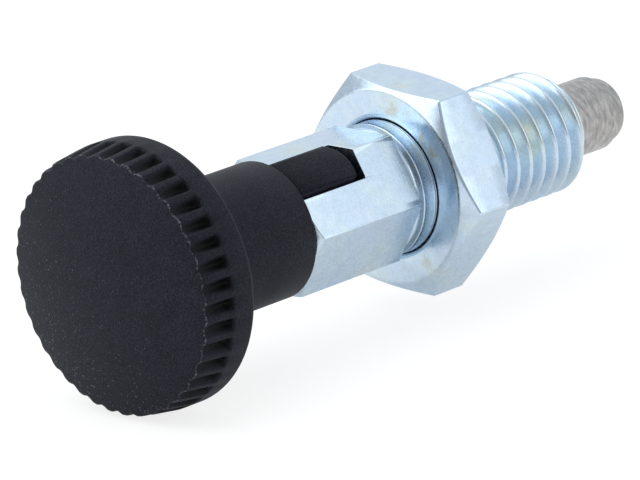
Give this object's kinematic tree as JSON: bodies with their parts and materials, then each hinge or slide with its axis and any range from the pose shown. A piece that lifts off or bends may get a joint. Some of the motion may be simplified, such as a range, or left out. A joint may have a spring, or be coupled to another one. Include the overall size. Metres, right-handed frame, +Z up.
{
  "type": "indexing plunger",
  "caption": "Indexing plunger with fluted mushroom knob, keyed slot, hexagon sleeve, lock nut and sprung locking pin.",
  "frame": {"origin": "on the plunger's axis, in the seat plane: the side of the lock nut that is drawn against a plate", "axes": "+X along the axis from the knob to the pin's tip, +Z up, square to the top flat of the sleeve's hexagon"},
  "size_m": [0.0568, 0.0206, 0.0206],
  "materials": {
    "sleeve_zinc_plated_steel": "blue passivated zinc plating",
    "nut_zinc_plated_steel": "blue passivated zinc plating",
    "pin_stainless_steel": "turned stainless steel",
    "spring_wire": "drawn stainless spring wire",
    "knob_black_plastic": "fine textured black polyamide"
  },
  "bodies": {
    "sleeve_body": {"sleeve": "sleeve_zinc_plated_steel", "spring": "spring_wire"},
    "plunger": {"knob": "knob_black_plastic", "plunger_pin": "pin_stainless_steel"},
    "nut": {"lock_nut": "nut_zinc_plated_steel"}
  },
  "joints": [
    {"name": "pull", "type": "slide", "parent": "sleeve_body", "child": "plunger", "axis": [-1, 0, 0], "range_m": [0, 0.007], "stiffness_N_per_m": 1450, "springref_m": -0.0042, "deforming": ["spring"]},
    {"name": "nut_turn", "type": "hinge", "parent": "sleeve_body", "child": "nut", "pos_m": [0, 0, 0], "axis": [1, 0, 0], "continuous": true}
  ]
}
